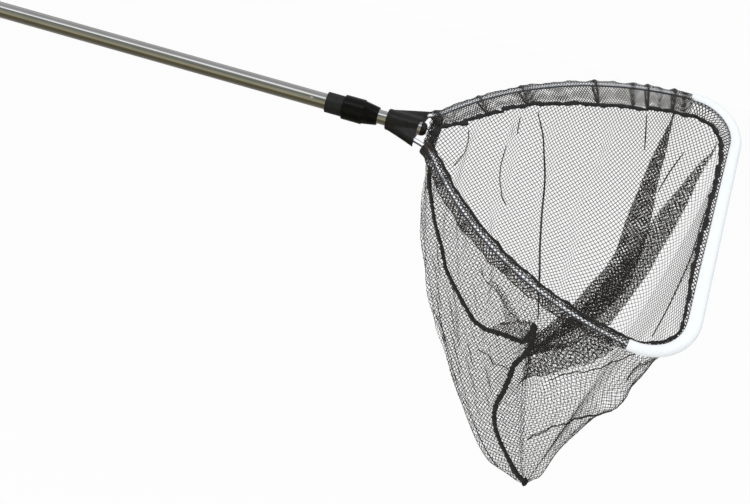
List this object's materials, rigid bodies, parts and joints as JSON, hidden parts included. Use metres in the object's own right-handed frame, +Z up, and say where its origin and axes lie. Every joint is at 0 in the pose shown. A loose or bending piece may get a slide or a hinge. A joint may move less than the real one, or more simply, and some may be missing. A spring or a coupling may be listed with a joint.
{
  "type": "pond net",
  "caption": "Hand net for a pond: telescopic twist-lock handle, moulded yoke, D-shaped bent hoop with a bumper on its front and a deep mesh bag that hangs from a hemmed sleeve.",
  "frame": {"origin": "centre of the flat end of the handle's rear cap", "axes": "+X along the handle from the rear cap to the hoop, +Z up; the hoop is rolled about X, so its mouth faces -Y and +Z and the bag hangs towards -Z"},
  "size_m": [1.1563, 0.3135, 0.6035],
  "materials": {
    "chrome_tube": "polished",
    "black_plastic": "satin moulded",
    "white_plastic": "satin extruded",
    "rod_metal": "drawn",
    "screw_steel": "zinc plated",
    "black_mesh": "knotless netting",
    "black_tape": "woven binding"
  },
  "bodies": {
    "handle": {"outer_tube": "chrome_tube", "end_cap": "black_plastic", "lock_ferrule": "black_plastic", "lock_collet": "black_plastic"},
    "nut": {"lock_nut": "black_plastic"},
    "extension": {"inner_tube": "chrome_tube", "guide_bush": "black_plastic", "tube_plug": "black_plastic", "yoke": "black_plastic", "arm_screw_upper": "screw_steel", "arm_screw_lower": "screw_steel", "tube_screw": "screw_steel", "hoop_rod": "rod_metal", "front_bumper": "white_plastic", "sleeve_upper": "black_mesh", "sleeve_lower": "black_mesh", "sleeve_front": "black_mesh", "hem_tape": "black_tape", "bag_panel_far": "black_mesh", "bag_panel_near": "black_mesh", "seam_tape": "black_tape", "tip_gather": "black_tape"}
  },
  "joints": [
    {"name": "telescope_slide", "type": "slide", "parent": "handle", "child": "extension", "axis": [1, 0, 0], "range_m": [-0.01, 0.45]},
    {"name": "lock_twist", "type": "hinge", "parent": "handle", "child": "nut", "pos_m": [0.6106, 0, 0], "axis": [1, 0, 0], "range_deg": [0, 180]}
  ]
}
